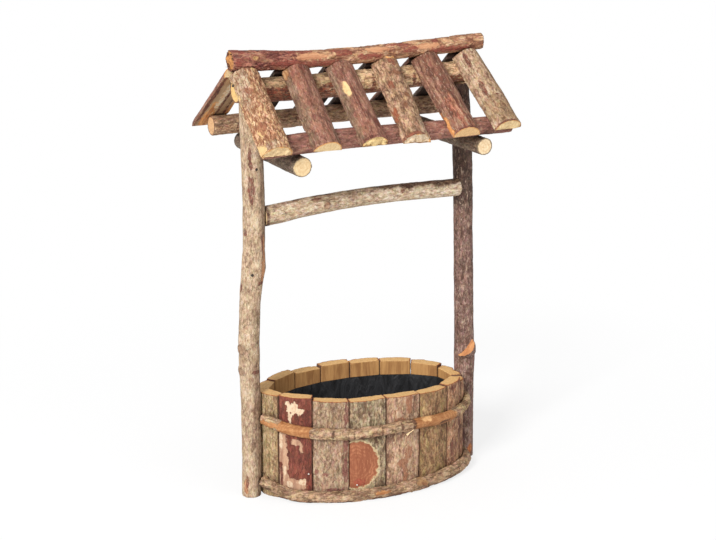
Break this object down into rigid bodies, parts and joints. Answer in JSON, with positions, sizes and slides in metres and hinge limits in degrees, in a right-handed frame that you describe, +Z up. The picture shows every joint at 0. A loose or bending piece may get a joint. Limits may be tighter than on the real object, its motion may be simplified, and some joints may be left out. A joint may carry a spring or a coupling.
{
  "type": "wishing well planter",
  "caption": "Rustic wishing well planter of nailed branches: an oval basin of upright staves with bent hoops, two posts with a crossbar, and a pitched slat roof.",
  "frame": {"origin": "on the ground under the middle of the row of posts, on the underside of the bottom board", "axes": "+X along the ridge to the right, +Y to the back, +Z up"},
  "size_m": [0.3142, 0.2025, 0.5038],
  "materials": {
    "light_bark": "rough tan bark",
    "dark_bark": "rough grey-brown bark",
    "red_bark": "flaky red-brown bark",
    "stave_bark": "cracked bark slab",
    "peeled_branch": "half peeled bent branch",
    "sawn_board": "rough sawn",
    "liner_film": "matt black"
  },
  "bodies": {
    "root": {"post_left": "light_bark", "post_right": "dark_bark", "crossbar": "light_bark", "tie_beam_left": "dark_bark", "tie_beam_right": "dark_bark", "purlin_front": "red_bark", "purlin_rear": "dark_bark", "ridge_log": "red_bark", "ridge_cap": "red_bark", "slat_front_1": "light_bark", "slat_front_2": "red_bark", "slat_front_3": "red_bark", "slat_front_4": "light_bark", "slat_front_5": "red_bark", "slat_front_6": "light_bark", "slat_rear_1": "red_bark", "slat_rear_2": "dark_bark", "slat_rear_3": "red_bark", "slat_rear_4": "dark_bark", "slat_rear_5": "red_bark", "slat_rear_6": "dark_bark", "stave_1": "stave_bark", "stave_2": "stave_bark", "stave_3": "stave_bark", "stave_4": "stave_bark", "stave_5": "stave_bark", "stave_6": "stave_bark", "stave_7": "stave_bark", "stave_8": "stave_bark", "stave_9": "stave_bark", "stave_10": "stave_bark", "stave_11": "stave_bark", "stave_12": "stave_bark", "stave_13": "stave_bark", "stave_14": "stave_bark", "stave_15": "stave_bark", "stave_16": "stave_bark", "bottom_board": "sawn_board", "liner": "liner_film", "hoop_upper_front": "peeled_branch", "hoop_upper_rear": "peeled_branch", "hoop_lower_front": "peeled_branch", "hoop_lower_rear": "peeled_branch"}
  },
  "joints": []
}
